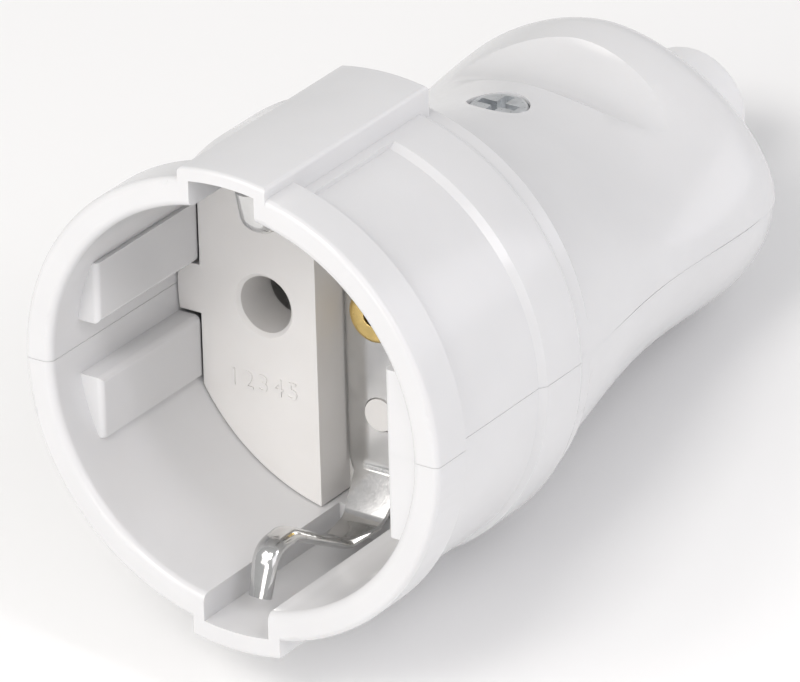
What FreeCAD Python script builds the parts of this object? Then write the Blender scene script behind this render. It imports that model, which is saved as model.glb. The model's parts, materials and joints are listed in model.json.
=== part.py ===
"""Inline socket connector: an earthed mains coupler socket in a two-part moulded housing.

Own frame while modelling, millimetres: the mouth of the socket lies in the plane y = 0,
+Y runs back along the axis to the cable bush, +Z is the thumb side and x = 0 is the
plane of symmetry. At the end every sub-part is laid down as the connector comes to
rest: on the rear edge of its lower key and on the underside of the grip.
"""
import FreeCAD, Part
import math
import os
import re

DOCUMENT = FreeCAD.newDocument("InlineSocketConnector")
SHEET = DOCUMENT.addObject("Spreadsheet::Sheet", "Sizes")

# Driving dimensions: alias, value in millimetres, what it is.
SIZES = (
    ("overrun", 1.0, "how far a cutter or a root runs past the face it meets"),
    ("rim_wall", 2.75, "wall of the cup at its front rim"),
    ("ring_wall", 1.95, "wall of the cup behind the front rim"),
    ("ring_sink", 0.35, "how far the ring and the keys are centred below the socket's axis"),
    ("rim_round", 0.6, "rounding of the outer rim edge"),
    ("recess_radius", 18.9, "radius of the plug recess"),
    ("mouth_round", 0.8, "rounding of the recess mouth"),
    ("recess_depth", 19.15, "depth from the rim to the carrier face"),
    ("ring_end", 24.6, "rear end of the ring behind the band"),
    ("ring_round", 1.1, "rounding of the ring's rear edge"),
    ("band_front", 4.4, "rear end of the front rim and front end of the side band"),
    ("band_rear", 18.4, "rear end of the sunken side band"),
    ("band_depth", 0.45, "depth of the sunken side band"),
    ("band_margin", 0.9, "rib left between a key and the band"),
    ("band_slope", 0.75, "length over which the band rises to the ring at its rear end"),
    ("collar_wall", 1.3, "wall of the low collar behind the ring"),
    ("collar_end", 26.6, "rear end of the low collar"),
    ("collar_round", 0.5, "rounding of the low collar"),
    ("key_half", 4.55, "half width of a key on the cup"),
    ("key_stand", 2.1, "height of a key's outer face above the ring"),
    ("key_end", 25.2, "rear end of a key"),
    ("key_round", 0.45, "rounding of a key's edges"),
    ("slot_half", 3.4, "half width of the slot inside a key"),
    ("slot_depth", 2.5, "depth of that slot in the recess wall"),
    ("slot_end", 21.15, "rear end of the slot inside a key"),
    ("guide_left", 16.45, "distance of the left guide flat from the axis"),
    ("guide_right", 16.05, "distance of the right guide's flat from the axis"),
    ("guide_front_left", 4.1, "front end of the left guides"),
    ("guide_front_right", 0.4, "front end of the right guide"),
    ("guide_half_left", 8.45, "half height of the pair of left guides"),
    ("guide_half_right", 8.0, "half height of the right guide"),
    ("guide_gap", 2.63, "half height of the groove between the left guides"),
    ("guide_round", 0.6, "rounding of a guide's edges"),
    ("guide_root", 0.5, "depth of a guide's root in the cup's wall"),
    ("seam_gap", 0.04, "open seam between the two halves of the housing"),
    ("wall", 2.2, "housing wall of the grip"),
    ("thumb_wall", 3.4, "housing wall under the thumb hollow"),
    ("rear_wall", 2.2, "housing wall around the cable bush"),
    ("tail_round", 3.0, "rounding of the grip's rear edge"),
    ("shoulder_y", 23.0, "first grip section"),
    ("shoulder_half_width", 20.2, "half width there"),
    ("shoulder_rise", 19.7, "height above the parting plane there"),
    ("shoulder_crown", 0.7, "fullness of the crown there, 0.707 for an ellipse"),
    ("shoulder_drop", 20.2, "depth below the parting plane there"),
    ("neck_y", 32.5, "second grip section"),
    ("neck_half_width", 19.5, "half width there"),
    ("neck_rise", 15.0, "height there"),
    ("neck_crown", 0.55, "fullness of the crown there, 0.707 for an ellipse"),
    ("neck_drop", 16.5, "depth there"),
    ("waist_y", 42.0, "third grip section"),
    ("waist_half_width", 18.5, "half width there"),
    ("waist_rise", 12.9, "height there"),
    ("waist_crown", 0.42, "fullness of the crown there, 0.707 for an ellipse"),
    ("waist_drop", 13.9, "depth there"),
    ("palm_y", 49.5, "fourth grip section"),
    ("palm_half_width", 18.6, "half width there"),
    ("palm_rise", 12.5, "height there"),
    ("palm_crown", 0.4, "fullness of the crown there, 0.707 for an ellipse"),
    ("palm_drop", 13.1, "depth there"),
    ("heel_y", 56.0, "fifth grip section"),
    ("heel_half_width", 18.6, "half width there"),
    ("heel_rise", 13.5, "height there"),
    ("heel_crown", 0.46, "fullness of the crown there, 0.707 for an ellipse"),
    ("heel_drop", 13.0, "depth there"),
    ("tail_y", 62.4, "last grip section"),
    ("tail_half_width", 16.4, "half width there"),
    ("tail_rise", 13.7, "height there"),
    ("tail_crown", 0.62, "fullness of the crown there, 0.707 for an ellipse"),
    ("tail_drop", 11.6, "depth there"),
    ("hollow_y", 51.6, "centre of the thumb hollow along the axis"),
    ("hollow_bend", 5.8, "radius of the hollow's section along the axis"),
    ("hollow_arc", 29.6, "radius of the hollow's floor across the grip"),
    ("hollow_depth", 2.0, "depth of the hollow under the mean crown of palm and heel"),
    ("carrier_length", 6.2, "length of the contact carrier's disc"),
    ("carrier_gap", 0.15, "clearance of the carrier in the housing"),
    ("tab_half", 2.35, "half height of the carrier's tab in the left groove"),
    ("channel_half", 3.95, "half width of the earth channel"),
    ("channel_depth", 4.6, "depth of the earth channel"),
    ("pocket_half", 11.9, "half width of the carrier's top pocket"),
    ("pocket_bottom", 8.0, "height of the pocket's lower edge"),
    ("pocket_round", 1.6, "corner radius of the pocket"),
    ("pin_spacing", 19.0, "distance between the two pin holes"),
    ("pin_hole_radius", 2.7, "radius of a pin hole in the carrier"),
    ("pin_hole_length", 5.0, "length of a pin hole's wall"),
    ("lead_in", 0.35, "chamfer at the mouth of a pin hole"),
    ("sleeve_radius", 3.5, "outer radius of a contact sleeve"),
    ("sleeve_wall", 0.7, "wall of a contact sleeve"),
    ("sleeve_length", 11.8, "length of a contact sleeve"),
    ("sleeve_slit", 0.9, "width of the slit in a contact sleeve"),
    ("sleeve_slit_length", 8.6, "length of that slit"),
    ("sleeve_gap", 0.15, "clearance of a sleeve in its tower"),
    ("tower_wall", 1.7, "wall of the tubular tower behind the carrier"),
    ("tower_length", 4.0, "length of that tower"),
    ("spring_gauge", 0.5, "sheet thickness of a contact spring"),
    ("spring_width", 2.6, "width of a contact spring along the axis"),
    ("spring_gap", 0.2, "distance of a contact spring behind its tower"),
    ("terminal_width", 8.0, "width of a terminal block"),
    ("terminal_length", 9.0, "length of a terminal block"),
    ("terminal_height", 8.0, "height of a terminal block"),
    ("terminal_round", 0.5, "rounding of a terminal block"),
    ("wire_hole_radius", 1.6, "radius of the wire hole in a terminal"),
    ("wire_hole_depth", 6.5, "depth of the wire hole"),
    ("earth_block_width", 7.0, "width of the earth terminal block"),
    ("earth_block_length", 8.0, "length of the earth terminal block"),
    ("terminal_screw_radius", 1.5, "shank radius of a terminal screw"),
    ("terminal_head_radius", 2.3, "head radius of a terminal screw"),
    ("terminal_head_height", 1.6, "head height of a terminal screw"),
    ("screw_from_rear", 3.0, "terminal screw's distance from the block's rear"),
    ("strip_half", 3.75, "half width of the earth strip"),
    ("strip_neck", 2.6, "half width of the earth strip before its fold"),
    ("strip_gauge", 0.8, "sheet thickness of the earth bracket"),
    ("arm_half", 1.15, "half width of an earth arm"),
    ("arm_root", 2.0, "half width of an earth arm where it leaves the strip"),
    ("arm_gauge", 1.5, "thickness of an earth arm's rolled tip"),
    ("strip_fold", -3.7, "place where the strip folds forward, outward from the recess wall"),
    ("arm_valley_y", 15.6, "place of the valley in an earth arm"),
    ("arm_valley_z", 0.4, "place of that valley outward from the recess wall"),
    ("arm_crest_y", 8.2, "place of the contact crest along the axis"),
    ("arm_crest_z", -3.7, "place of the crest outward from the recess wall"),
    ("arm_nose_y", 5.0, "place of the bend before the tip"),
    ("arm_nose_z", -3.5, "place of that bend outward from the recess wall"),
    ("arm_tip_y", 3.8, "place of the tip along the axis"),
    ("arm_tip_z", 0.6, "place of the tip outward from the recess wall"),
    ("arm_bend", 2.1, "bend radius along an earth arm"),
    ("arm_flat", 4.2, "length of the straight run behind an arm's valley"),
    ("peg_radius", 1.55, "radius of the peg that locates the strip"),
    ("peg_drop", 9.9, "distance of the peg below the axis"),
    ("peg_stand", 0.15, "height of the peg above the strip"),
    ("peg_gap", 0.1, "clearance of the peg in the strip"),
    ("rivet_radius", 1.5, "shank radius of the earth rivet"),
    ("rivet_head_radius", 2.6, "head radius of the earth rivet"),
    ("rivet_head_height", 0.9, "head height of the earth rivet"),
    ("rivet_head_round", 0.54, "rounding of the earth rivet's head"),
    ("rivet_bore", 0.9, "bore radius of the earth rivet"),
    ("rivet_reach", 3.0, "length of the rivet inside the earth block"),
    ("screw_y", 42.8, "place of the housing screw"),
    ("screw_radius", 1.5, "shank radius of the housing screw"),
    ("screw_head_radius", 2.75, "head radius of the housing screw"),
    ("screw_head_height", 1.8, "head height of the housing screw"),
    ("screw_well_radius", 2.85, "radius of the well for the screw head"),
    ("screw_seat", 10.7, "height of the screw's seat"),
    ("screw_gap", 0.2, "clearance around the housing screw"),
    ("screw_boss_radius", 3.9, "radius of the screw boss"),
    ("screw_slot", 0.9, "width of a screw's drive slots"),
    ("slot_span_share", 0.72, "half length of a drive slot as a share of the head's radius"),
    ("slot_depth_share", 0.6, "depth of a drive slot as a share of the head's height"),
    ("head_round_share", 0.35, "rounding of a screw head as a share of its height"),
    ("nut_flats", 5.5, "nut width across its flats"),
    ("nut_height", 2.4, "height of the nut"),
    ("nut_seat", 10.6, "distance of the nut's seat below the parting plane"),
    ("clamp_y", 54.0, "place of the cord clamp"),
    ("clamp_width", 6.0, "length of the clamp along the axis"),
    ("clamp_half", 12.2, "half span of the clamp"),
    ("clamp_top", 4.3, "height of the clamp's top"),
    ("clamp_seat", -1.2, "height of the clamp's seat"),
    ("clamp_round", 1.8, "rounding of the clamp's upper edges"),
    ("clamp_spacing", 17.6, "distance between the clamp screws"),
    ("clamp_screw_radius", 1.4, "shank radius of a clamp screw"),
    ("clamp_head_radius", 2.6, "head radius of a clamp screw"),
    ("clamp_head_height", 1.7, "head height of a clamp screw"),
    ("clamp_screw_length", 11.0, "shank length of a clamp screw"),
    ("post_radius", 3.0, "radius of a clamp post"),
    ("cable_radius", 3.7, "radius of the cable passage"),
    ("saddle_half", 5.2, "half width of the cable saddle"),
    ("bush_radius", 6.0, "radius of the cable bush at the rear wall"),
    ("bush_tip_radius", 5.8, "radius of the cable bush at its rear end"),
    ("bush_stand", 12.9, "length of the bush behind the rear wall"),
    ("bush_flange_radius", 9.6, "radius of the bush's flange"),
    ("bush_flange", 1.9, "thickness of the bush's flange"),
    ("bush_gap", 0.15, "clearance of the bush in the rear wall"),
    ("bush_round", 1.1, "rounding of the bush's rear edge"),
)
RIM_RADIUS = "(recess_radius + rim_wall)"
RING_RADIUS = "(recess_radius + ring_wall)"
COLLAR_RADIUS = "(recess_radius + collar_wall)"
KEY_RADIUS = "(recess_radius + ring_wall + key_stand)"
SLOT_RADIUS = "(recess_radius + slot_depth)"
ALIASES = {alias for alias, _, _ in SIZES}
GRIP = ("shoulder", "neck", "waist", "palm", "heel", "tail")
WORD = re.compile(r"[a-z][a-z_0-9]*")
SIDES = {"left": -1, "right": 1}
ALONG_Y = FreeCAD.Rotation(FreeCAD.Vector(1, 0, 0), -90)
ALONG_Z = FreeCAD.Rotation()
ELLIPSE = math.sqrt(0.5)  # fullness of a quarter ellipse
FAR = 60.0  # reach of a cutter or half space past the part
CLOSE = 0.01  # how near an edge lies to the plane it is picked by
EDGE_RUN = 1.0  # an edge runs along an axis if it is longer than this there
BEND_SHARE = 0.45  # share of a straight run that one bend may take
FACET = 0.02  # chord error of the outline that the connector is laid down by


def fill_sheet():
    """Writes every driving dimension to the sheet, with its alias."""
    for row, (alias, value, note) in enumerate(SIZES, 1):
        SHEET.set(f"A{row}", note)
        SHEET.set(f"B{row}", str(value))
        SHEET.setAlias(f"B{row}", alias)
    DOCUMENT.recompute()


def formula(text):
    """Turns a text with bare aliases into an expression on the sheet."""
    def named(word):
        return f"Sizes.{word[0]}" if word[0] in ALIASES else word[0]
    return WORD.sub(named, str(text))


def bind(item, **sizes):
    """Binds properties of an object to formulas; x, y and z place it."""
    for name, text in sizes.items():
        path = f"Placement.Base.{name}" if name in ("x", "y", "z") else name
        item.setExpression(path, formula(text))
    return item


def size(text):
    """The present value of a formula on the sheet."""
    return float(SHEET.evalExpression(formula(text)))


def block(name, x, y, z):
    """A box between two bounds along each axis."""
    box = DOCUMENT.addObject("Part::Box", name)
    length, width, height = (f"({bounds[1]}) - ({bounds[0]})" for bounds in (x, y, z))
    bind(box, Length=length, Width=width, Height=height)
    return bind(box, x=x[0], y=y[0], z=z[0])


def rod(name, turn, start, radius, length):
    """A cylinder that starts at a point and runs along +Y or +Z."""
    cylinder = DOCUMENT.addObject("Part::Cylinder", name)
    cylinder.Placement.Rotation = turn
    return bind(cylinder, Radius=radius, Height=length, x=start[0], y=start[1], z=start[2])


def cone(name, turn, start, radii, length):
    """A cone that starts at a point and runs along +Y or +Z."""
    item = DOCUMENT.addObject("Part::Cone", name)
    item.Placement.Rotation = turn
    bind(item, Radius1=radii[0], Radius2=radii[1], Height=length)
    return bind(item, x=start[0], y=start[1], z=start[2])


def fuse(name, *shapes):
    item = DOCUMENT.addObject("Part::MultiFuse", name)
    item.Shapes = list(shapes)
    item.Refine = True
    return item


def common(name, *shapes):
    item = DOCUMENT.addObject("Part::MultiCommon", name)
    item.Shapes = list(shapes)
    return item


def cut(name, base, *tools):
    """One cut by all the tools together."""
    item = DOCUMENT.addObject("Part::Cut", name)
    item.Base = base
    item.Tool = tools[0] if len(tools) == 1 else fuse(f"{name}_tools", *tools)
    item.Refine = True
    return item


def rounded(name, base, radius, wanted):
    """Rounds those edges of a solid that a test picks."""
    DOCUMENT.recompute()
    item = DOCUMENT.addObject("Part::Fillet", name)
    item.Base = base
    reach = size(radius)
    item.Edges = [(number, reach, reach)
                  for number, edge in enumerate(base.Shape.Edges, 1) if wanted(edge)]
    return item


def flat_at(axis, place):
    """A test for edges that lie wholly at one place along an axis."""
    def test(edge):
        bounds = edge.BoundBox
        low, high = {"x": (bounds.XMin, bounds.XMax), "y": (bounds.YMin, bounds.YMax),
                     "z": (bounds.ZMin, bounds.ZMax)}[axis]
        return abs(low - place) < CLOSE and abs(high - place) < CLOSE
    return test


def key(name, end):
    """A key on the cup: an arc sector that runs back past the ring; end is 1 for the top."""
    sector = common(f"{name}_sector",
                    rod(f"{name}_round", ALONG_Y, (0, 0, "-ring_sink"), KEY_RADIUS, "key_end"),
                    block(f"{name}_block", ("-key_half", "key_half"), (0, "key_end"),
                          (0, FAR) if end > 0 else (-FAR, 0)))
    outer = size(f"sqrt({KEY_RADIUS}^2 - key_half^2)") - end * size("ring_sink") - CLOSE
    return rounded(name, sector, "key_round",
                   lambda edge: min(end * edge.BoundBox.ZMin, end * edge.BoundBox.ZMax) > outer)


def key_slot(name, end):
    """The slot inside a key, open at the mouth."""
    return common(name,
                  rod(f"{name}_round", ALONG_Y, (0, "-overrun", 0), SLOT_RADIUS, FAR),
                  block(f"{name}_block", ("-slot_half", "slot_half"), ("-overrun", "slot_end"),
                        (0, FAR) if end > 0 else (-FAR, 0)))


def conic(start, corner, end, fullness):
    """A quarter of a section: a conic arc that leaves and arrives along its corner's sides."""
    curve = Part.BezierCurve()
    curve.setPoles([start, corner, end])
    curve.setWeight(2, fullness)
    return curve.toShape()


def grip_section(name, y, half_width, height, fullness):
    """Half a section of the grip, closed by the parting plane; a negative height hangs down."""
    left = FreeCAD.Vector(-half_width, y, 0)
    right = FreeCAD.Vector(half_width, y, 0)
    crown = FreeCAD.Vector(0, y, height)
    rise = FreeCAD.Vector(0, 0, height)
    item = DOCUMENT.addObject("Part::Feature", name)
    item.Shape = Part.Wire([conic(left, left + rise, crown, fullness),
                            conic(crown, right + rise, right, fullness),
                            Part.LineSegment(right, left).toShape()])
    return item


def grip_loft(name, end, inset, height_inset):
    """A smooth solid through one half of the grip's sections; end is 1 for the thumb side."""
    sections = []
    for station in GRIP:
        height = f"{station}_rise" if end > 0 else f"{station}_drop"
        fullness = size(f"{station}_crown") if end > 0 else ELLIPSE
        half_width = size(f"{station}_half_width - {inset}")
        sections.append(grip_section(f"{name}_{station}", size(f"{station}_y"), half_width,
                                     end * size(f"{height} - {height_inset}"), fullness))
    item = DOCUMENT.addObject("Part::Loft", name)
    item.Sections = sections
    item.Solid = True
    return item


def plug_recess():
    """The round recess with a rounded mouth, as a cutter."""
    flare = cut("recess_flare",
                rod("recess_flare_disc", ALONG_Y, (0, 0, 0), "recess_radius + mouth_round", "mouth_round"),
                bind(turned_torus("recess_flare_ring"), Radius1="recess_radius + mouth_round",
                     Radius2="mouth_round", y="mouth_round"))
    return fuse("plug_recess",
                rod("recess_bore", ALONG_Y, (0, "-overrun", 0), "recess_radius",
                    "recess_depth + carrier_length + overrun"),
                flare)


def turned_torus(name):
    ring = DOCUMENT.addObject("Part::Torus", name)
    ring.Placement.Rotation = ALONG_Y
    return ring


def side_band():
    """The sunken band on both sides of the cup, as a cutter; its rear end slopes up to the ring."""
    floor = f"{RING_RADIUS} - band_depth"
    ramp = "band_rear - band_slope"
    past = f"{floor} + band_depth * (band_slope + overrun) / band_slope"
    end = "band_rear + overrun - band_front"
    return cut("side_band",
               rod("band_outside", ALONG_Y, (0, "band_front", "-ring_sink"), KEY_RADIUS, end),
               rod("band_inside", ALONG_Y, (0, "band_front", "-ring_sink"), floor, f"{ramp} - band_front"),
               cone("band_ramp", ALONG_Y, (0, ramp, "-ring_sink"), (floor, past), "band_slope + overrun"),
               block("band_keys", ("-key_half - band_margin", "key_half + band_margin"),
                     ("band_front", "band_rear + overrun"), (-FAR, FAR)))


def cup_solid():
    """The cup's outside: the front rim, the slimmer ring with its side band and the low collar."""
    rim = rounded("front_rim", rod("rim_bar", ALONG_Y, (0, 0, 0), RIM_RADIUS, "band_front"), "rim_round",
                  flat_at("y", 0.0))
    ring_bar = rod("ring_bar", ALONG_Y, (0, "rim_round", "-ring_sink"), RING_RADIUS, "ring_end - rim_round")
    ring = rounded("ring", ring_bar, "ring_round", flat_at("y", size("ring_end")))
    root = "ring_end - ring_round - overrun"
    collar_bar = rod("collar_bar", ALONG_Y, (0, root, "-ring_sink"), COLLAR_RADIUS, f"collar_end - ({root})")
    collar = rounded("collar", collar_bar, "collar_round", flat_at("y", size("collar_end")))
    return fuse("cup", rim, cut("ring_banded", ring, side_band()), collar)


def guide(name, side, end):
    """Half of the guides on one side of the cup, flat towards the axis: the left ones leave a groove."""
    sign = SIDES[side]
    root = "recess_radius + overrun"
    across = (f"guide_{side}", root) if sign > 0 else (f"-({root})", f"-guide_{side}")
    inner = "guide_gap" if side == "left" else "0"
    outer = f"guide_half_{side}"
    upright = (inner, outer) if end > 0 else (f"-{outer}", f"-{inner}")
    bar = block(f"{name}_bar", across, (f"guide_front_{side}", "recess_depth"), upright)
    on_flat = flat_at("x", sign * size(f"guide_{side}"))
    soft_lines = [flat_at("y", size(f"guide_front_{side}"))]
    if side == "left":
        soft_lines.append(flat_at("z", end * size("guide_gap")))
    soft = rounded(f"{name}_soft", bar, "guide_round",
                   lambda edge: on_flat(edge) and any(line(edge) for line in soft_lines))
    return common(name, soft, rod(f"{name}_round", ALONG_Y, (0, 0, 0), "recess_radius + guide_root",
                                  "recess_depth"))


def half_space(name, end):
    """Everything on one side of the seam; end is 1 for the thumb side."""
    return block(name, (-FAR, FAR), (-FAR, 2 * FAR),
                 ("seam_gap / 2", FAR) if end > 0 else (-FAR, "-seam_gap / 2"))


def grip_half(name, end, height_wall):
    """One half of the grip: its outside and its cavity."""
    loft = grip_loft(f"{name}_outside", end, "0", "0")
    rear = flat_at("y", size("tail_y"))
    outside = rounded(f"{name}_soft", loft, "tail_round",
                      lambda edge: rear(edge) and edge.BoundBox.ZLength > EDGE_RUN)
    inner = grip_loft(f"{name}_inside", end, "wall", height_wall)
    cavity = common(f"{name}_cavity", inner,
                    block(f"{name}_span", (-FAR, FAR), ("recess_depth + carrier_length", "tail_y - rear_wall"),
                          (0, FAR) if end > 0 else (-FAR, 0)))
    return outside, cavity


def bush_seat(name):
    """The hole in the rear wall for the cable bush and the room for its flange, as a cutter."""
    inner = "tail_y - rear_wall"
    return fuse(name,
                rod(f"{name}_hole", ALONG_Y, (0, f"{inner} - bush_flange", 0), "bush_radius + bush_gap", FAR),
                rod(f"{name}_room", ALONG_Y, (0, f"{inner} - bush_flange - bush_gap", 0),
                    "bush_flange_radius + bush_gap", "bush_flange + bush_gap"))


def upper_shell():
    """The thumb-side half of the housing, with the thumb hollow and the well for the screw."""
    outside, cavity = grip_half("upper_grip", 1, "thumb_wall")
    body = common("upper_body", fuse("upper_outside", cup_solid(), key("upper_key", 1), outside),
                  half_space("upper_half", 1))
    hollow = bind(turned_torus("thumb_hollow"), Radius1="hollow_arc + hollow_bend", Radius2="hollow_bend",
                  y="hollow_y", z="(palm_rise + heel_rise) / 2 - hollow_depth - hollow_arc")
    boss_bar = rod("upper_boss_bar", ALONG_Z, (0, "screw_y", 0), "screw_boss_radius", "waist_rise")
    boss = common("upper_boss", boss_bar, outside)
    guides = [guide(f"upper_guide_{side}", side, 1) for side in SIDES]
    hollowed = cut("upper_hollowed", body, DOCUMENT.getObject("plug_recess") or plug_recess(),
                   key_slot("upper_slot", 1), cavity, bush_seat("upper_bush_seat"))
    joined = fuse("upper_joined", hollowed, boss, *guides)
    return cut("upper_shell", joined, hollow,
               rod("screw_well", ALONG_Z, (0, "screw_y", "screw_seat"), "screw_well_radius", FAR),
               rod("upper_screw_hole", ALONG_Z, (0, "screw_y", -FAR), "screw_radius + screw_gap", 2 * FAR))


def prism(name, start, flats, height):
    """An upright six-sided prism, given across its flats."""
    item = DOCUMENT.addObject("Part::Prism", name)
    item.Polygon = 6
    return bind(item, Circumradius=f"({flats}) / sqrt(3)", Height=height, x=start[0], y=start[1], z=start[2])


def lower_shell():
    """The lower half of the housing, with the nut pocket, the clamp posts and the cable saddle."""
    outside, cavity = grip_half("lower_grip", -1, "wall")
    whole = fuse("lower_outside", DOCUMENT.getObject("cup"), key("lower_key", -1), outside)
    body = common("lower_body", whole, half_space("lower_half", -1))
    uprights = [rod("lower_boss_bar", ALONG_Z, (0, "screw_y", -FAR), "screw_boss_radius", FAR),
                block("saddle_bar", ("-saddle_half", "saddle_half"),
                      ("clamp_y - clamp_width / 2", "clamp_y + clamp_width / 2"), (-FAR, "clamp_seat"))]
    for side, sign in SIDES.items():
        uprights.append(rod(f"clamp_post_{side}", ALONG_Z, (f"{sign} * clamp_spacing / 2", "clamp_y", -FAR),
                            "post_radius", f"{FAR} + clamp_seat"))
    inside = common("lower_uprights", fuse("lower_uprights_bars", *uprights), outside)
    guides = [guide(f"lower_guide_{side}", side, -1) for side in SIDES]
    hollowed = cut("lower_hollowed", body, DOCUMENT.getObject("plug_recess"), key_slot("lower_slot", -1),
                   cavity, bush_seat("lower_bush_seat"))
    drills = [rod(f"clamp_hole_{side}", ALONG_Z,
                  (f"{sign} * clamp_spacing / 2", "clamp_y", "clamp_top - clamp_screw_length"),
                  "clamp_screw_radius", FAR) for side, sign in SIDES.items()]
    return cut("lower_shell", fuse("lower_joined", hollowed, inside, *guides),
               rod("lower_screw_hole", ALONG_Z, (0, "screw_y", -FAR), "screw_radius + screw_gap", 2 * FAR),
               prism("nut_pocket", (0, "screw_y", -FAR), "nut_flats + screw_gap", f"{FAR} - nut_seat"),
               rod("saddle_bore", ALONG_Y, (0, "clamp_y - clamp_width", 0), "cable_radius", "2 * clamp_width"),
               *drills)


def contact_carrier():
    """The insulating carrier: a disc with flats, a tab, the earth channel and the two pin holes."""
    face = "recess_depth"
    rear = "recess_depth + carrier_length"
    floor = "recess_depth + channel_depth"
    disc = common("carrier_disc",
                  rod("carrier_bar", ALONG_Y, (0, face, 0), "recess_radius - carrier_gap", "carrier_length"),
                  block("carrier_flats", ("-guide_left + carrier_gap", "guide_right - carrier_gap"),
                        (face, rear), (-FAR, FAR)))
    tab = common("carrier_tab",
                 rod("tab_round", ALONG_Y, (0, face, 0), "recess_radius - carrier_gap", "carrier_length"),
                 block("tab_bar", (-FAR, 0), (face, rear), ("-tab_half", "tab_half")))
    parts = [disc, tab]
    front = "recess_depth - overrun"
    tools = [block("channel", ("-channel_half", "channel_half"), (front, floor), (-FAR, FAR)),
             rod("rivet_hole", ALONG_Y, (0, face, 0), "rivet_radius", FAR)]
    pocket = block("pocket_bar", ("-pocket_half", "pocket_half"), (front, floor), ("pocket_bottom", FAR))
    on_bottom = flat_at("z", size("pocket_bottom"))
    tools.append(rounded("carrier_pocket", pocket, "pocket_round",
                         lambda edge: on_bottom(edge) and edge.BoundBox.YLength > EDGE_RUN))
    for side, sign in SIDES.items():
        x = f"{sign} * pin_spacing / 2"
        parts.append(rod(f"tower_{side}", ALONG_Y, (x, f"{rear} - overrun", 0),
                         "sleeve_radius + sleeve_gap + tower_wall", "tower_length + overrun"))
        tools.append(rod(f"pin_hole_{side}", ALONG_Y, (x, front, 0), "pin_hole_radius", FAR))
        tools.append(cone(f"pin_lead_in_{side}", ALONG_Y, (x, face, 0),
                          ("pin_hole_radius + lead_in", "pin_hole_radius"), "lead_in"))
        tools.append(rod(f"sleeve_pocket_{side}", ALONG_Y, (x, f"{face} + pin_hole_length", 0),
                         "sleeve_radius + sleeve_gap", FAR))
    peg = rod("peg", ALONG_Y, (0, f"{floor} - strip_gauge - peg_stand", "-peg_drop"), "peg_radius",
              "strip_gauge + peg_stand + overrun")
    return fuse("contact_carrier", cut("carrier_block", fuse("carrier_bars", *parts), *tools), peg)


def contact_sleeve(side):
    """A slit spring sleeve that grips one pin of the plug."""
    x = f"{SIDES[side]} * pin_spacing / 2"
    start = "recess_depth + pin_hole_length"
    return cut(f"{side}_contact_sleeve",
               rod(f"{side}_sleeve_bar", ALONG_Y, (x, start, 0), "sleeve_radius", "sleeve_length"),
               rod(f"{side}_sleeve_bore", ALONG_Y, (x, start, 0), "sleeve_radius - sleeve_wall",
                   "sleeve_length - 2 * sleeve_wall"),
               block(f"{side}_sleeve_slit", (f"{x} - sleeve_slit / 2", f"{x} + sleeve_slit / 2"),
                     (start, f"{start} + sleeve_slit_length"), (-FAR, FAR)))


def contact_spring(side):
    """A slit ring of spring steel round a contact sleeve, behind its tower."""
    x = f"{SIDES[side]} * pin_spacing / 2"
    start = "recess_depth + carrier_length + tower_length + spring_gap"
    return cut(f"{side}_contact_spring",
               rod(f"{side}_spring_bar", ALONG_Y, (x, start, 0), "sleeve_radius + spring_gauge",
                   "spring_width"),
               rod(f"{side}_spring_bore", ALONG_Y, (x, start, 0), "sleeve_radius", "spring_width"),
               block(f"{side}_spring_slit", (f"{x} - sleeve_slit / 2", f"{x} + sleeve_slit / 2"),
                     (start, f"{start} + spring_width"), (0, FAR)))


def terminal_start():
    return "recess_depth + pin_hole_length + sleeve_length"


def terminal(name, x, start, width, length):
    """A brass terminal block: a wire hole from the rear and a screw hole from above."""
    box = block(f"{name}_bar", (f"{x} - {width} / 2", f"{x} + {width} / 2"), (start, f"{start} + {length}"),
                ("-terminal_height / 2", "terminal_height / 2"))
    soft = rounded(f"{name}_soft", box, "terminal_round", lambda edge: edge.BoundBox.YLength > EDGE_RUN)
    inner = f"{start} + {length} - wire_hole_depth"
    tools = [rod(f"{name}_wire_hole", ALONG_Y, (x, inner, "-wire_hole_radius / 2"), "wire_hole_radius", FAR),
             rod(f"{name}_thread", ALONG_Z, (x, f"{start} + {length} - screw_from_rear", 0),
                 "terminal_screw_radius", FAR)]
    if width == "earth_block_width":
        tools.append(rod(f"{name}_rivet_hole", ALONG_Y, (x, start, 0), "rivet_radius", "rivet_reach"))
    return cut(name, soft, *tools)


def slotted_screw(name, x, y, seat, radius, head_radius, head_height, length):
    """An upright screw with a rounded, cross-slotted head; the seat is under its head."""
    head = rounded(f"{name}_head", rod(f"{name}_head_bar", ALONG_Z, (x, y, seat), head_radius, head_height),
                   f"{head_height} * head_round_share", flat_at("z", size(f"{seat} + {head_height}")))
    shank = rod(f"{name}_shank", ALONG_Z, (x, y, f"{seat} - ({length})"), radius,
                f"({length}) + {head_height} / 2")
    narrow = "screw_slot / 2"
    wide = f"{head_radius} * slot_span_share"
    slots = [block(f"{name}_slot_{along}",
                   (f"{x} - {half_x}", f"{x} + {half_x}"), (f"{y} - {half_y}", f"{y} + {half_y}"),
                   (f"{seat} + {head_height} * (1 - slot_depth_share)", FAR))
             for along, half_x, half_y in (("x", wide, narrow), ("y", narrow, wide))]
    return cut(name, fuse(f"{name}_solid", head, shank), *slots)


def terminal_screw(name, x, y):
    """A short screw that presses on the wire."""
    return slotted_screw(name, x, y, "terminal_height / 2", "terminal_screw_radius", "terminal_head_radius",
                         "terminal_head_height", "terminal_height / 2")


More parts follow.
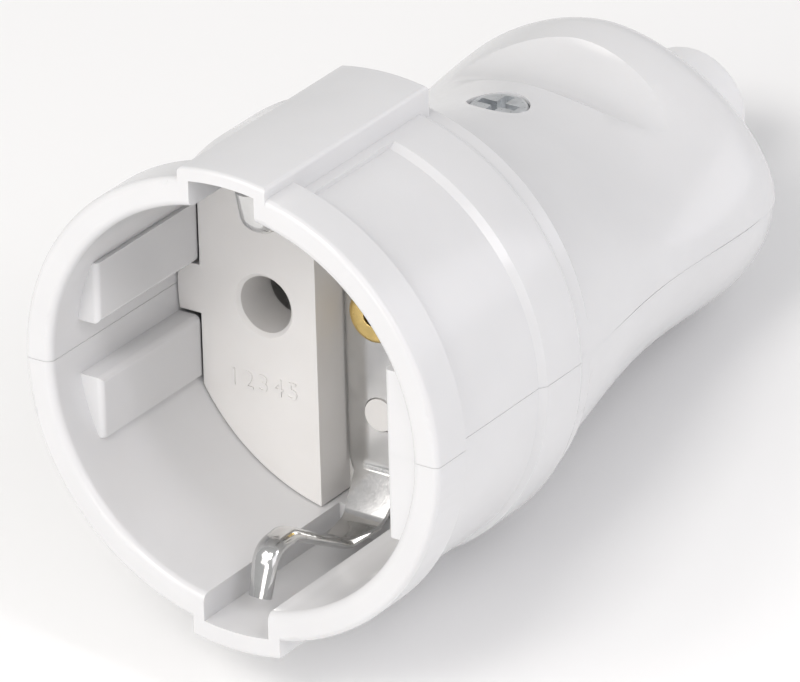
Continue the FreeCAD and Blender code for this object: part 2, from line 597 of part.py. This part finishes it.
def soft_path(points, radius):
    """A wire of straight runs with a tangent arc at each inner corner."""
    edges = []
    last = points[0]
    for before, corner, after in zip(points, points[1:], points[2:]):
        back = (before - corner).normalize()
        ahead = (after - corner).normalize()
        half = back.getAngle(ahead) / 2
        room = BEND_SHARE * min((before - corner).Length, (after - corner).Length)
        reach = min(radius / math.tan(half), room)
        bow = reach * math.tan(half)
        middle = (back + ahead).normalize()
        start = corner + back * reach
        peak = corner + middle * (bow / math.sin(half) - bow)
        end = corner + ahead * reach
        edges.append(Part.LineSegment(last, start).toShape())
        edges.append(Part.Arc(start, peak, end).toShape())
        last = end
    edges.append(Part.LineSegment(last, points[-1]).toShape())
    return Part.Wire(edges)


def earth_bracket():
    """The sheet-metal earth bracket: a strip on the channel floor with a rolled spring arm at each end."""
    middle = size("recess_depth + channel_depth - strip_gauge / 2")
    arm = [(size(f"arm_{place}_y"), size(f"recess_radius + arm_{place}_z"))
           for place in ("valley", "crest", "nose", "tip")]
    valley_y, valley_z = arm[0]
    root = [(middle, size("recess_radius + strip_fold")), (valley_y + size("arm_flat"), valley_z), arm[0]]
    strip = [FreeCAD.Vector(0, y, z) for y, z in reversed(root)] + [FreeCAD.Vector(0, y, -z) for y, z in root]
    face = soft_path(strip, size("arm_bend")).makeOffset2D(size("strip_gauge") / 2, 0, True, True)
    wide = size("strip_half")
    sheet = face.extrude(FreeCAD.Vector(2 * wide, 0, 0)).translated(FreeCAD.Vector(-wide, 0, 0))
    half = size("arm_half")
    shoulder = middle - size("strip_gauge")
    taper = ((wide, FAR), (wide, middle), (size("strip_neck"), shoulder), (half, valley_y), (half, -FAR))
    outline = [FreeCAD.Vector(x, y, -FAR) for x, y in taper]
    outline += [FreeCAD.Vector(-x, y, -FAR) for x, y in reversed(taper)]
    plan = Part.Face(Part.makePolygon(outline + outline[:1])).extrude(FreeCAD.Vector(0, 0, 2 * FAR))
    arms = [rolled_arm([FreeCAD.Vector(0, y, end * z) for y, z in root[1:] + arm[1:]]) for end in (1, -1)]
    back = FreeCAD.Vector(0, 1, 0)
    holes = [Part.makeCylinder(size("rivet_radius"), FAR, FreeCAD.Vector(0, 0, 0), back),
             Part.makeCylinder(size("peg_radius + peg_gap"), FAR, FreeCAD.Vector(0, 0, size("-peg_drop")),
                               back)]
    item = DOCUMENT.addObject("Part::Feature", "earth_bracket")
    item.Shape = sheet.common(plan).cut(holes).fuse(arms).removeSplitter()
    return item


def oval(centre, along, half_width, half_gauge):
    """A flat oval across a direction in the plane of symmetry."""
    outward = along.cross(FreeCAD.Vector(1, 0, 0)).normalize()
    curve = Part.Ellipse(centre + FreeCAD.Vector(half_width, 0, 0), centre + outward * half_gauge, centre)
    return Part.Wire(curve.toShape())


def rolled_arm(points):
    """A spring arm along a path of runs and bends, rolled from the flat strip to a round tip."""
    flat = oval(points[0], points[1] - points[0], size("arm_root"), size("strip_gauge / 2"))
    tip = oval(points[-1], points[-1] - points[-2], size("arm_half"), size("arm_gauge / 2"))
    return soft_path(points, size("arm_bend")).makePipeShell([flat, tip], True, True)


def earth_rivet():
    """The hollow brass rivet that holds the strip and the earth terminal to the carrier."""
    floor = "recess_depth + channel_depth"
    front = f"{floor} - strip_gauge"
    crown = f"{front} - rivet_head_height"
    head_bar = rod("rivet_head_bar", ALONG_Y, (0, crown, 0), "rivet_head_radius", "rivet_head_height")
    head = rounded("rivet_head", head_bar, "rivet_head_round", flat_at("y", size(crown)))
    shank = rod("rivet_shank", ALONG_Y, (0, crown, 0), "rivet_radius",
                f"recess_depth + carrier_length + rivet_reach - ({crown})")
    return cut("earth_rivet", fuse("rivet_solid", head, shank),
               rod("rivet_bore_bar", ALONG_Y, (0, crown, 0), "rivet_bore",
                   "rivet_head_height + carrier_length"))


def housing_screw():
    """The long screw that closes the housing."""
    return slotted_screw("housing_screw", "0", "screw_y", "screw_seat", "screw_radius", "screw_head_radius",
                         "screw_head_height", "screw_seat + nut_seat + nut_height")


def housing_nut():
    """The nut in the pocket of the lower half."""
    return cut("housing_nut",
               prism("nut_bar", (0, "screw_y", "-nut_seat - nut_height"), "nut_flats", "nut_height"),
               rod("nut_thread", ALONG_Z, (0, "screw_y", -FAR), "screw_radius", FAR))


def cord_clamp():
    """The clamp bar over the cable passage, screwed down on two posts."""
    bar = block("clamp_bar", ("-clamp_half", "clamp_half"),
                ("clamp_y - clamp_width / 2", "clamp_y + clamp_width / 2"), ("clamp_seat", "clamp_top"))
    soft = rounded("clamp_soft", bar, "clamp_round",
                   lambda edge: edge.BoundBox.YLength > EDGE_RUN and edge.BoundBox.ZMin > 0)
    holes = [rod(f"clamp_drill_{side}", ALONG_Z, (f"{sign} * clamp_spacing / 2", "clamp_y", -FAR),
                 "clamp_screw_radius", 2 * FAR) for side, sign in SIDES.items()]
    return cut("cord_clamp", soft,
               rod("clamp_arch", ALONG_Y, (0, "clamp_y - clamp_width", 0), "cable_radius", "2 * clamp_width"),
               *holes)


def cord_clamp_screws():
    """The two screws of the clamp, one node."""
    screws = [slotted_screw(f"clamp_screw_{side}", f"{sign} * clamp_spacing / 2", "clamp_y", "clamp_top",
                            "clamp_screw_radius", "clamp_head_radius", "clamp_head_height",
                            "clamp_screw_length")
              for side, sign in SIDES.items()]
    item = DOCUMENT.addObject("Part::Compound", "cord_clamp_screws")
    item.Links = screws
    return item


def cable_bush():
    """The cable bush: a short tapered nose with a flange behind the rear wall."""
    inner = "tail_y - rear_wall"
    front = f"{inner} - bush_flange"
    taper = cone("bush_cone", ALONG_Y, (0, "tail_y", 0), ("bush_radius", "bush_tip_radius"), "bush_stand")
    nose = rounded("bush_nose", taper, "bush_round", flat_at("y", size("tail_y + bush_stand")))
    sleeve = rod("bush_sleeve", ALONG_Y, (0, front, 0), "bush_radius", "rear_wall + bush_flange")
    flange = rod("bush_flange_disc", ALONG_Y, (0, front, 0), "bush_flange_radius", "bush_flange")
    return cut("cable_bush", fuse("bush_solid", nose, sleeve, flange),
               rod("bush_bore", ALONG_Y, (0, front, 0), "cable_radius", FAR))


def resting_place(shell, parts):
    """The placement that lays the connector on the longest flat of the lower half's outline."""
    points = sorted({(round(p.y, 3), round(p.z, 3)) for p in shell.Shape.tessellate(FACET)[0]})
    hull = []
    for point in points:
        while len(hull) > 1 and ((hull[-1][0] - hull[-2][0]) * (point[1] - hull[-2][1])
                                 <= (hull[-1][1] - hull[-2][1]) * (point[0] - hull[-2][0])):
            hull.pop()
        hull.append(point)
    front, rear = max(zip(hull, hull[1:]), key=lambda edge: math.dist(*edge))
    pitch = math.degrees(math.atan2(rear[1] - front[1], rear[0] - front[0]))
    turn = FreeCAD.Rotation(FreeCAD.Vector(1, 0, 0), -pitch)
    whole = Part.Compound([part.Shape for part in parts])
    whole.Placement = FreeCAD.Placement(FreeCAD.Vector(), turn)
    bounds = whole.optimalBoundingBox(False, False)
    shift = FreeCAD.Vector(-bounds.Center.x, -bounds.Center.y, -bounds.ZMin)
    return FreeCAD.Placement(shift, turn)


def build():
    """All the sub-parts, by node name."""
    start = terminal_start()
    earth_start = "recess_depth + carrier_length"
    parts = {"upper_shell": upper_shell(), "lower_shell": lower_shell(), "contact_carrier": contact_carrier()}
    for side, name in (("left", "neutral"), ("right", "line")):
        x = f"{SIDES[side]} * pin_spacing / 2"
        parts[f"{name}_contact_sleeve"] = contact_sleeve(side)
        parts[f"{name}_contact_spring"] = contact_spring(side)
        parts[f"{name}_terminal"] = terminal(f"{name}_terminal", x, start, "terminal_width", "terminal_length")
        parts[f"{name}_terminal_screw"] = terminal_screw(f"{name}_terminal_screw", x,
                                                         f"{start} + terminal_length - screw_from_rear")
    parts["earth_bracket"] = earth_bracket()
    parts["earth_rivet"] = earth_rivet()
    parts["earth_terminal"] = terminal("earth_terminal", "0", earth_start, "earth_block_width",
                                       "earth_block_length")
    parts["earth_terminal_screw"] = terminal_screw("earth_terminal_screw", "0",
                                                   f"{earth_start} + earth_block_length - screw_from_rear")
    parts["housing_screw"] = housing_screw()
    parts["housing_nut"] = housing_nut()
    parts["cord_clamp"] = cord_clamp()
    parts["cord_clamp_screws"] = cord_clamp_screws()
    parts["cable_bush"] = cable_bush()
    return parts


def check(parts):
    """Stops if an object failed or a sub-part has no valid solid."""
    failed = [item.Name for item in DOCUMENT.Objects if {"Invalid", "Error"} & set(item.State)]
    if failed:
        raise RuntimeError(f"failed objects: {failed}")
    for name, part in parts.items():
        shape = part.Shape
        if shape.isNull() or not shape.isValid() or not shape.Solids:
            raise RuntimeError(f"{name} has no valid solid")


def write(parts):
    """Writes each sub-part to its own file."""
    os.makedirs("parts", exist_ok=True)
    for name, part in parts.items():
        part.Shape.exportStep(os.path.join("parts", f"{name}.step"))
        print(name, len(part.Shape.Solids), round(part.Shape.Volume, 1))


fill_sheet()
PARTS = build()
DOCUMENT.recompute()
check(PARTS)
REST = resting_place(PARTS["lower_shell"], list(PARTS.values()))
for node, sub_part in PARTS.items():
    sub_part.Label = node
    sub_part.Placement = REST.multiply(sub_part.Placement)
DOCUMENT.recompute()
check(PARTS)
write(PARTS)
print("rest", REST)
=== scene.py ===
"""Looks of the inline socket connector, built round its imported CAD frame.

Each CAD node is shown by a merged copy with softened edges and the finish of its real material.
Own frame of the connector, as in its drawing: the mouth's centre is the origin, +Y runs back along
the socket's axis, +Z is the thumb side. OWN turns that frame into the one the connector lies in.
"""
import json
import math

import bmesh
import bpy
from mathutils import Matrix, Vector


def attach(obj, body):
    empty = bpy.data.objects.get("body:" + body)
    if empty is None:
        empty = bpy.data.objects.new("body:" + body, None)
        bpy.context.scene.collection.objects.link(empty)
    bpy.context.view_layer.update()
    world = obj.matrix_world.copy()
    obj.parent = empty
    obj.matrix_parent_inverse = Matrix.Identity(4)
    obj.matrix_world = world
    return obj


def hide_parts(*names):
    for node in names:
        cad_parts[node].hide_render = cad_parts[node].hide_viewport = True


bl_info = {
    "name": "Inline socket connector",
    "version": (1, 0, 0),
    "blender": (4, 5, 0),
    "location": "View3D > Sidebar > Connector",
    "description": "Dresses the CAD frame of an inline socket connector",
    "category": "Object",
}

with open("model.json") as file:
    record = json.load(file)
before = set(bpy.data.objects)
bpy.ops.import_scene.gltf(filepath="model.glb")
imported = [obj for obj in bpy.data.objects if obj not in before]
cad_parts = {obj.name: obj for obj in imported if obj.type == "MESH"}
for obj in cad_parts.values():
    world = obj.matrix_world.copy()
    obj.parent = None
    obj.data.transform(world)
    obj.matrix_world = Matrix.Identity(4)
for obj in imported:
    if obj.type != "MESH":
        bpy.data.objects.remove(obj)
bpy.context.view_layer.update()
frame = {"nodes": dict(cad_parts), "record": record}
MM = 0.001
MOUNTS = {mount["name"]: mount for mount in frame["record"]["mounts"]}
MOUTH = Vector(MOUNTS["plug_recess"]["pos_m"])
BACKWARD = -Vector(MOUNTS["plug_recess"]["axis"])
RIGHT = Vector((1.0, 0.0, 0.0))
OWN = Matrix.Translation(MOUTH) @ Matrix((RIGHT, BACKWARD, RIGHT.cross(BACKWARD))).transposed().to_4x4()

# The photograph's camera, seen from the connector's own frame.
IMAGE = (800, 682)
AZIMUTH = math.radians(34.517)
ELEVATION = math.radians(25.644)
ROLL = math.radians(-1.582)
DISTANCE = 861.6 * MM
MOUTH_PIXEL = (228.5, 412.4)
FOCAL_PIXELS = 10000.0
SENSOR = 36.0
CLIP_END = 100.0


def linear(code):
    """A linear RGBA colour from an sRGB hex code."""
    channels = (int(code[place:place + 2], 16) / 255 for place in (1, 3, 5))
    return (*(c / 12.92 if c <= 0.04045 else ((c + 0.055) / 1.055) ** 2.4 for c in channels), 1.0)


def colour(name, description, code):
    return bpy.props.FloatVectorProperty(name=name, description=description, subtype="COLOR", size=4,
                                         min=0.0, max=1.0, default=linear(code))


def length(name, description, millimetres):
    return bpy.props.FloatProperty(name=name, description=description, unit="LENGTH", min=0.0,
                                   default=millimetres * MM)


class HousingSettings(bpy.types.PropertyGroup):
    white: colour("Housing white", "Colour of the moulded housing", "#E0E0E1")
    bush: colour("Bush white", "Colour of the cable bush", "#ECECED")
    edge: length("Edge", "Softening of the housing's moulded edges", 0.22)


class ContactSettings(bpy.types.PropertyGroup):
    carrier: colour("Carrier white", "Colour of the contact carrier", "#F1EFED")
    nickel: colour("Nickel", "Colour of the plated earth bracket and sleeves", "#D9D9D8")
    brass: colour("Brass", "Colour of rivet and terminals", "#F2D48C")
    zinc: colour("Zinc", "Colour of the plated screws", "#E8EAEC")
    edge: length("Edge", "Softening of the carrier's edges", 0.18)
    digits: bpy.props.StringProperty(name="Digits", description="Plain mould number on the carrier",
                                     default="12345")
    digit_height: length("Digit height", "Height of the raised digits", 1.7)
    digit_stand: length("Digit stand", "How far the digits stand above the carrier", 0.12)


class StageSettings(bpy.types.PropertyGroup):
    floor: colour("Floor", "Colour of the floor", "#F7F7F7")
    reach: length("Floor reach", "Half width of the floor", 3000.0)


def add_node(tree, kind, inputs=None, **settings):
    """Adds a node with its settings; an input takes a value or the socket that feeds it."""
    made = tree.nodes.new(kind)
    for name, value in settings.items():
        setattr(made, name, value)
    for name, value in (inputs or {}).items():
        if isinstance(value, bpy.types.NodeSocket):
            tree.links.new(value, made.inputs[name])
        else:
            made.inputs[name].default_value = value
    return made


def per_mm(size):
    """Scale of a pattern whose features are this many millimetres wide."""
    return 1.0 / (size * MM)


def shaded(shade, colour_value):
    """A colour made darker or lighter by a factor."""
    return (*(min(1.0, channel * shade) for channel in colour_value[:3]), 1.0)


def new_material(name):
    """An empty node material with its output: the tree and the surface input."""
    material = bpy.data.materials.new(name)
    material.use_nodes = True
    tree = material.node_tree
    tree.nodes.clear()
    output = add_node(tree, "ShaderNodeOutputMaterial")
    return material, tree, output.inputs["Surface"]


def two_tone(tree, pattern, low, high, dark, light):
    """Colour that goes from dark to light while the pattern goes from low to high."""
    ramp = add_node(tree, "ShaderNodeValToRGB", {"Fac": pattern})
    first, last = ramp.color_ramp.elements
    first.position = low
    first.color = dark
    last.position = high
    last.color = light
    return ramp.outputs["Color"]


# Part of a noise pattern's span that holds nearly all of it.
NOISE_LOW = 0.3
NOISE_HIGH = 0.7


def varied(tree, pattern, value, spread):
    """A value that a noise pattern takes up and down by a share of itself."""
    ranged = add_node(tree, "ShaderNodeMapRange",
                      {"Value": pattern, "From Min": NOISE_LOW, "From Max": NOISE_HIGH,
                       "To Min": value * (1.0 - spread), "To Max": value * (1.0 + spread)})
    return ranged.outputs["Result"]


# The flow clouds' darker tone, and how far light spreads inside white plastic in red, green and blue.
FLOW_SHADE = 0.965
PLASTIC_SPREAD = 0.1
PLASTIC_IOR = 1.5
LIGHT_REACH = 0.8 * MM
LIGHT_SHARES = (1.0, 0.9, 0.8)


def moulded_plastic(name, white, roughness, cloud_mm, skin_mm, skin_depth, glow):
    """Injection-moulded plastic: faint flow clouds, an even sheen and a very fine mould skin."""
    material, tree, surface = new_material(name)
    place = add_node(tree, "ShaderNodeTexCoord").outputs["Object"]
    noise = add_node(tree, "ShaderNodeTexNoise", {"Vector": place, "Scale": per_mm(cloud_mm), "Detail": 3.0})
    clouds = noise.outputs["Fac"]
    tint = two_tone(tree, clouds, NOISE_LOW, NOISE_HIGH, shaded(FLOW_SHADE, white), white)
    skin = add_node(tree, "ShaderNodeTexNoise", {"Vector": place, "Scale": per_mm(skin_mm), "Detail": 2.0})
    relief = add_node(tree, "ShaderNodeBump", {"Height": skin.outputs["Fac"], "Strength": 1.0,
                                               "Distance": skin_depth * MM})
    shader = add_node(tree, "ShaderNodeBsdfPrincipled",
                      {"Base Color": tint, "Roughness": varied(tree, clouds, roughness, PLASTIC_SPREAD),
                       "Normal": relief.outputs["Normal"], "IOR": PLASTIC_IOR, "Subsurface Weight": glow,
                       "Subsurface Radius": LIGHT_SHARES, "Subsurface Scale": LIGHT_REACH})
    tree.links.new(shader.outputs["BSDF"], surface)
    return material


# The duller spots' span and tone, and how far the sheen and the relief vary with the streaks.
SPOT_LOW = 0.35
SPOT_HIGH = 0.6
SPOT_SHADE = 0.86
METAL_SPREAD = 0.3
RELIEF_STRENGTH = 0.6
EVEN = (1.0, 1.0, 1.0)


def plated_metal(name, base, roughness, streak_mm, spot_mm, relief_mm, stretch=EVEN):
    """Rolled or plated metal: drawing streaks along the strip and a few duller spots."""
    material, tree, surface = new_material(name)
    place = add_node(tree, "ShaderNodeTexCoord").outputs["Object"]
    drawn = add_node(tree, "ShaderNodeMapping", {"Vector": place, "Scale": stretch})
    noise = add_node(tree, "ShaderNodeTexNoise",
                     {"Vector": drawn.outputs["Vector"], "Scale": per_mm(streak_mm), "Detail": 4.0})
    streaks = noise.outputs["Fac"]
    spots = add_node(tree, "ShaderNodeTexNoise", {"Vector": place, "Scale": per_mm(spot_mm), "Detail": 2.0})
    tint = two_tone(tree, spots.outputs["Fac"], SPOT_LOW, SPOT_HIGH, shaded(SPOT_SHADE, base), base)
    relief = add_node(tree, "ShaderNodeBump", {"Height": streaks, "Strength": RELIEF_STRENGTH,
                                               "Distance": relief_mm * MM})
    shader = add_node(tree, "ShaderNodeBsdfPrincipled",
                      {"Base Color": tint, "Roughness": varied(tree, streaks, roughness, METAL_SPREAD),
                       "Normal": relief.outputs["Normal"], "Metallic": 1.0})
    tree.links.new(shader.outputs["BSDF"], surface)
    return material


def show(piece, material):
    """Gives a finished piece its material and its body."""
    piece.data.materials.clear()
    piece.data.materials.append(material)
    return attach(piece, "root")


def link_mesh(name, mesh):
    """An object of that name in the scene, with its place in its mesh."""
    piece = bpy.data.objects.new(name, mesh)
    bpy.context.scene.collection.objects.link(piece)
    return piece


# Points this close are one, faces this level are one, and an edge sharper than a crease is softened.
MERGE = 0.0005 * MM
FLAT = math.radians(0.2)
CREASE = math.radians(28.0)
EDGE_SEGMENTS = 2


def skin(node, name, material, slot, edge):
    """A merged copy of a CAD node with softened creases, which stands for the node."""
    shape = bmesh.new()
    shape.from_mesh(frame["nodes"][node].data)
    bmesh.ops.remove_doubles(shape, verts=shape.verts, dist=MERGE)
    bmesh.ops.dissolve_limit(shape, angle_limit=FLAT, verts=shape.verts, edges=shape.edges)
    for face in shape.faces:
        face.smooth = True
    for line in shape.edges:
        line.smooth = len(line.link_faces) == 2 and line.calc_face_angle() < CREASE
    mesh = bpy.data.meshes.new(name)
    shape.to_mesh(mesh)
    shape.free()
    piece = link_mesh(name, mesh)
    if edge:
        bevel = piece.modifiers.new("Softened edges", "BEVEL")
        bevel.width = edge
        bevel.segments = EDGE_SEGMENTS
        bevel.limit_method = "ANGLE"
        bevel.angle_limit = CREASE
        bevel.harden_normals = True
    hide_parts(node)
    return show(piece, material)


class OBJECT_OT_connector_housing(bpy.types.Operator):
    """Dresses the two half shells of the housing"""
    bl_idname = "object.connector_housing"
    bl_label = "Housing shells"

    def execute(self, context):
        settings = context.scene.connector_housing
        # Glossy ABS, as the shells of wiring accessories are moulded.
        plastic = moulded_plastic("Moulded ABS white", settings.white, roughness=0.2, cloud_mm=9.0,
                                  skin_mm=0.35, skin_depth=0.0025, glow=0.12)
        for node in ("upper_shell", "lower_shell"):
            skin(node, f"{node}_skin", plastic, "housing_plastic", settings.edge)
        return {"FINISHED"}


# Depth of the carrier's face below the mouth, the digits' middle on it, and their drawing.
CARRIER_FACE = 19.15
DIGITS_PLACE = Vector((-9.8, CARRIER_FACE, -8.5)) * MM
CAP_SHARE = 0.7
DIGIT_SPACING = 1.3
DIGIT_CURVE_STEPS = 4


def raised_digits(settings, material):
    """The mould number on the carrier's face, below the left pin hole."""
    curve = bpy.data.curves.new("carrier_digits", "FONT")
    curve.body = settings.digits
    curve.align_x = "CENTER"
    curve.size = settings.digit_height / CAP_SHARE
    curve.space_character = DIGIT_SPACING
    curve.resolution_u = DIGIT_CURVE_STEPS
    curve.extrude = settings.digit_stand
    letters = bpy.data.objects.new("carrier_digits", curve)
    mesh = bpy.data.meshes.new_from_object(letters)
    bpy.data.objects.remove(letters)
    bpy.data.curves.remove(curve)
    mesh.transform(OWN @ Matrix.Translation(DIGITS_PLACE) @ Matrix.Rotation(math.pi / 2, 4, "X"))
    return show(link_mesh("carrier_digits", mesh), material)


class OBJECT_OT_connector_carrier(bpy.types.Operator):
    """Dresses the contact carrier and raises its mould number"""
    bl_idname = "object.connector_carrier"
    bl_label = "Contact carrier"

    def execute(self, context):
        settings = context.scene.connector_contacts
        # Urea resin, which stands up to the contacts' heat and is duller than the housing.
        plastic = moulded_plastic("Moulded urea warm white", settings.carrier, roughness=0.42, cloud_mm=6.0,
                                  skin_mm=0.25, skin_depth=0.004, glow=0.1)
        skin("contact_carrier", "contact_carrier_skin", plastic, "carrier_plastic", settings.edge)
        raised_digits(settings, plastic)
        return {"FINISHED"}


METAL_EDGE = 0.1 * MM
SHARP = 0.0
DRAWN_ACROSS = (2.0, 1.0, 1.0)


class OBJECT_OT_connector_metal(bpy.types.Operator):
    """Dresses the earth bracket, the rivet, the contacts and the screws"""
    bl_idname = "object.connector_metal"
    bl_label = "Contacts and screws"

    def execute(self, context):
        settings = context.scene.connector_contacts
        # Bright nickel on the sprung bracket, and the duller nickel inside the sleeves.
        nickel = plated_metal("Nickel-plated bronze", settings.nickel, roughness=0.14, streak_mm=0.25,
                              spot_mm=3.5, relief_mm=0.004, stretch=DRAWN_ACROSS)
        dull = plated_metal("Dull nickel plate", settings.nickel, roughness=0.55, streak_mm=0.25,
                            spot_mm=3.5, relief_mm=0.002)
        # Bare brass of the rivet and the terminals.
        brass = plated_metal("Drawn brass", settings.brass, roughness=0.22, streak_mm=0.3,
                             spot_mm=1.5, relief_mm=0.001)
        # Zinc on the steel screws, the nut and the sleeves' springs.
        zinc = plated_metal("Zinc-plated steel", settings.zinc, roughness=0.36, streak_mm=0.25,
                            spot_mm=1.0, relief_mm=0.002)
        skin("earth_bracket", "earth_bracket_skin", nickel, "nickel_plate", METAL_EDGE)
        skin("earth_rivet", "earth_rivet_skin", brass, "brass", METAL_EDGE)
        for name in ("neutral", "line"):
            skin(f"{name}_contact_sleeve", f"{name}_contact_sleeve_skin", dull, "nickel_plate", SHARP)
            skin(f"{name}_contact_spring", f"{name}_contact_spring_skin", zinc, "spring_steel", SHARP)
        for name in ("neutral", "line", "earth"):
            skin(f"{name}_terminal", f"{name}_terminal_skin", brass, "brass", METAL_EDGE)
            skin(f"{name}_terminal_screw", f"{name}_terminal_screw_skin", zinc, "zinc_steel", METAL_EDGE)
        for node in ("housing_screw", "housing_nut", "cord_clamp_screws"):
            skin(node, f"{node}_skin", zinc, "zinc_steel", METAL_EDGE)
        return {"FINISHED"}


class OBJECT_OT_connector_cord_end(bpy.types.Operator):
    """Dresses the cable bush and the cord clamp"""
    bl_idname = "object.connector_cord_end"
    bl_label = "Cable end"

    def execute(self, context):
        settings = context.scene.connector_housing
        # Soft PVC, which bends with the cable.
        soft = moulded_plastic("Soft PVC white", settings.bush, roughness=0.4, cloud_mm=8.0,
                               skin_mm=0.3, skin_depth=0.004, glow=0.2)
        skin("cable_bush", "cable_bush_skin", soft, "bush_plastic", settings.edge)
        skin("cord_clamp", "cord_clamp_skin", soft, "clamp_plastic", settings.edge)
        return {"FINISHED"}


FLOOR_ROUGHNESS = 0.9
SURROUND = 0.53
WARM = (1.0, 0.97, 0.94)
COOL = (0.985, 0.96, 1.0)
LIT_POINT = (0, 25, 0)
# Name, place in the connector's own frame and size in mm, power in watts and tint.
SOFTBOXES = (("upper front softbox", (30, -400, 400), (200, 200), 0.84, WARM),
             ("upper left softbox", (-220, -360, 380), (200, 200), 0.5, WARM),
             ("front softbox", (-130, -470, 240), (300, 300), 0.38, WARM),
             ("low front card", (20, -500, 60), (160, 160), 0.25, WARM),
             ("side softbox", (430, -260, 220), (400, 400), 0.43, COOL),
             ("side strip", (420, -145, 400), (40, 300), 0.36, COOL),
             ("rear softbox", (380, 340, 150), (300, 300), 0.42, COOL))


def own_place(millimetres):
    """A place in the connector's own frame, turned into the scene."""
    return OWN @ (Vector(millimetres) * MM)


class OBJECT_OT_connector_stage(bpy.types.Operator):
    """Sets up the floor, the studio light and the photograph's camera"""
    bl_idname = "object.connector_stage"
    bl_label = "Stage"

    def execute(self, context):
        settings = context.scene.connector_stage
        self.lay_floor(settings)
        self.hang_lights()
        self.place_camera(context)
        return {"FINISHED"}

    def lay_floor(self, settings):
        shape = bmesh.new()
        bmesh.ops.create_grid(shape, x_segments=1, y_segments=1, size=settings.reach)
        mesh = bpy.data.meshes.new("floor")
        shape.to_mesh(mesh)
        shape.free()
        floor = link_mesh("floor", mesh)
        material, tree, surface = new_material("Matt white card")
        shader = add_node(tree, "ShaderNodeBsdfPrincipled",
                          {"Base Color": settings.floor, "Roughness": FLOOR_ROUGHNESS})
        tree.links.new(shader.outputs["BSDF"], surface)
        mesh.materials.append(material)

    def hang_lights(self):
        world = bpy.data.worlds.new("Studio")
        world.use_nodes = True
        back = world.node_tree.nodes["Background"]
        back.inputs["Color"].default_value = (1.0, 1.0, 1.0, 1.0)
        back.inputs["Strength"].default_value = SURROUND
        bpy.context.scene.world = world
        bpy.context.scene.view_settings.view_transform = "Standard"
        for name, place, size, power, tint in SOFTBOXES:
            data = bpy.data.lights.new(name, "AREA")
            data.shape = "RECTANGLE"
            data.size = size[0] * MM
            data.size_y = size[1] * MM
            data.energy = power
            data.color = tint
            lamp = bpy.data.objects.new(name, data)
            lamp.location = own_place(place)
            aim = own_place(LIT_POINT) - lamp.location
            lamp.rotation_euler = aim.to_track_quat("-Z", "Y").to_euler()
            bpy.context.scene.collection.objects.link(lamp)

    def place_camera(self, context):
        data = bpy.data.cameras.new("camera")
        data.sensor_width = SENSOR
        data.lens = FOCAL_PIXELS * SENSOR / IMAGE[0]
        data.clip_end = CLIP_END
        turn = (Matrix.Rotation(AZIMUTH, 3, "Z") @ Matrix.Rotation(math.pi / 2 - ELEVATION, 3, "X")
                @ Matrix.Rotation(ROLL, 3, "Z"))
        right = (MOUTH_PIXEL[0] - IMAGE[0] / 2) / FOCAL_PIXELS * DISTANCE
        up = (IMAGE[1] / 2 - MOUTH_PIXEL[1]) / FOCAL_PIXELS * DISTANCE
        away = turn @ Vector((-right, -up, DISTANCE))
        camera = bpy.data.objects.new("camera", data)
        camera.matrix_world = OWN @ Matrix.Translation(away) @ turn.to_4x4()
        context.scene.collection.objects.link(camera)
        context.scene.camera = camera


PIECES = (OBJECT_OT_connector_housing, OBJECT_OT_connector_carrier, OBJECT_OT_connector_metal,
          OBJECT_OT_connector_cord_end, OBJECT_OT_connector_stage)


class VIEW3D_PT_connector(bpy.types.Panel):
    """Lists the pieces of the connector and their settings"""
    bl_label = "Inline socket connector"
    bl_idname = "VIEW3D_PT_connector"
    bl_space_type = "VIEW_3D"
    bl_region_type = "UI"
    bl_category = "Connector"

    def draw(self, context):
        for settings in SETTINGS:
            group = getattr(context.scene, settings)
            for name in group.bl_rna.properties.keys():
                if name not in ("name", "rna_type"):
                    self.layout.prop(group, name)
        for piece in PIECES:
            self.layout.operator(piece.bl_idname)


SETTINGS = {"connector_housing": HousingSettings, "connector_contacts": ContactSettings,
            "connector_stage": StageSettings}


def register():
    for group in SETTINGS.values():
        bpy.utils.register_class(group)
    for name, group in SETTINGS.items():
        setattr(bpy.types.Scene, name, bpy.props.PointerProperty(type=group))
    for item in (*PIECES, VIEW3D_PT_connector):
        bpy.utils.register_class(item)


def unregister():
    for item in reversed((*PIECES, VIEW3D_PT_connector)):
        bpy.utils.unregister_class(item)
    for name in SETTINGS:
        delattr(bpy.types.Scene, name)
    for group in SETTINGS.values():
        bpy.utils.unregister_class(group)


def main():
    register()
    bpy.ops.object.connector_housing()
    bpy.ops.object.connector_carrier()
    bpy.ops.object.connector_metal()
    bpy.ops.object.connector_cord_end()
    bpy.ops.object.connector_stage()


if __name__ == "__main__":
    main()
